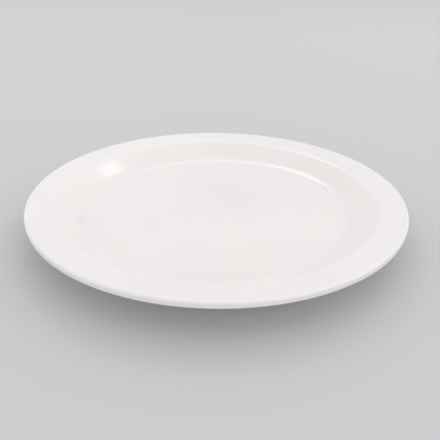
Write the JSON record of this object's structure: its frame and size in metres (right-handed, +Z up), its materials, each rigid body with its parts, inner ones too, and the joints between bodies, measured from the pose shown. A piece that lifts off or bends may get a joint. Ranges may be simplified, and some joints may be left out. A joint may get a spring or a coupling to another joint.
{
  "type": "rimmed plate",
  "caption": "Round glossy white plate moulded in one piece: a shallow dished well, a wide sloping rim with a rounded lip, and a low foot ring.",
  "frame": {"origin": "centre of the surface that the foot ring stands on", "axes": "+Z up along the plate's axis of revolution; X and Y are alike"},
  "size_m": [0.23, 0.23, 0.0215],
  "materials": {
    "white_gloss": "gloss"
  },
  "bodies": {
    "root": {"plate": "white_gloss"}
  },
  "joints": []
}
